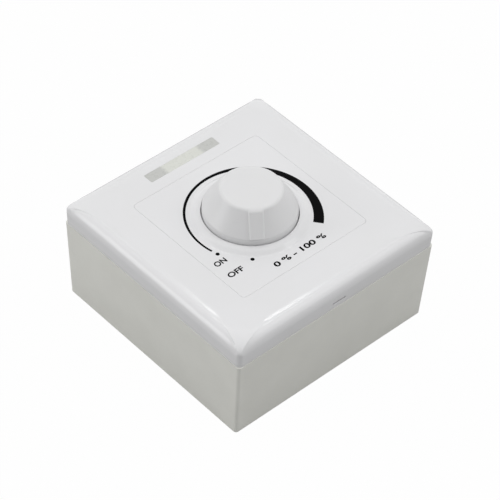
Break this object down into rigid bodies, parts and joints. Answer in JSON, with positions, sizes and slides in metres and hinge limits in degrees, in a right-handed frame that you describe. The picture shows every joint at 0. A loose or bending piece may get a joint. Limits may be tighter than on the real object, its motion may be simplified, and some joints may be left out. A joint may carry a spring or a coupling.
{
  "type": "rotary dimmer switch",
  "caption": "Square surface-mounted wall dimmer: deep tapered box, frame with a rolled edge, face plate, status window and a conical knob that turns over a limited arc.",
  "frame": {"origin": "centre of the box's back, on the wall plane", "axes": "+Z out of the front along the knob's axis, +Y up the wall towards the window, +X to the right seen from the front"},
  "size_m": [0.086, 0.086, 0.0528],
  "materials": {
    "cover_gloss": "glossy moulded white",
    "face_gloss": "glossy moulded white",
    "knob_gloss": "satin moulded white",
    "lens_milky": "milky, half clear",
    "glow_pale": "pale green, dull",
    "box_matte": "fine spark-eroded texture",
    "yoke_white": "moulded, dull",
    "housing_black": "moulded, dull",
    "screw_steel": "zinc plated",
    "nut_steel": "zinc plated",
    "can_steel": "tinned",
    "board_green": "solder mask",
    "terminal_green": "moulded",
    "brass_bare": "turned",
    "aluminium_bare": "bare",
    "resin_black": "moulded resin",
    "capacitor_sleeve": "shrink sleeve",
    "film_yellow": "moulded",
    "ferrite_dark": "sintered",
    "copper_enamel": "enamelled wire",
    "switch_brown": "moulded",
    "wafer_brown": "laminate",
    "rotor_cream": "moulded"
  },
  "bodies": {
    "dimmer_body": {"cover_frame": "cover_gloss", "face_insert": "face_gloss", "window_lens": "lens_milky", "glow_strip": "glow_pale", "back_box": "box_matte", "yoke_frame": "yoke_white", "module_housing": "housing_black", "fixing_screws": "screw_steel", "fixing_nuts": "nut_steel", "housing_screws": "screw_steel", "transistor_screw": "screw_steel", "circuit_board": "board_green", "terminal_block": "terminal_green", "terminal_clamps": "brass_bare", "terminal_screws": "screw_steel", "heat_sink": "aluminium_bare", "power_transistor": "resin_black", "storage_capacitor": "capacitor_sleeve", "film_capacitor": "film_yellow", "choke_core": "ferrite_dark", "choke_winding": "copper_enamel", "control_chip": "resin_black", "switch_case": "switch_brown", "pot_pins": "nut_steel", "pot_track": "wafer_brown", "pot_can": "can_steel", "pot_bush": "brass_bare", "bush_washer": "nut_steel", "bush_nut": "brass_bare"},
    "knob_body": {"knob": "knob_gloss", "pot_shaft": "aluminium_bare", "pot_rotor": "rotor_cream", "pot_wiper": "brass_bare"}
  },
  "joints": [
    {"name": "knob_turn", "type": "hinge", "parent": "dimmer_body", "child": "knob_body", "pos_m": [0, 0, 0.041], "axis": [0, 0, -1], "range_deg": [0, 290]}
  ]
}
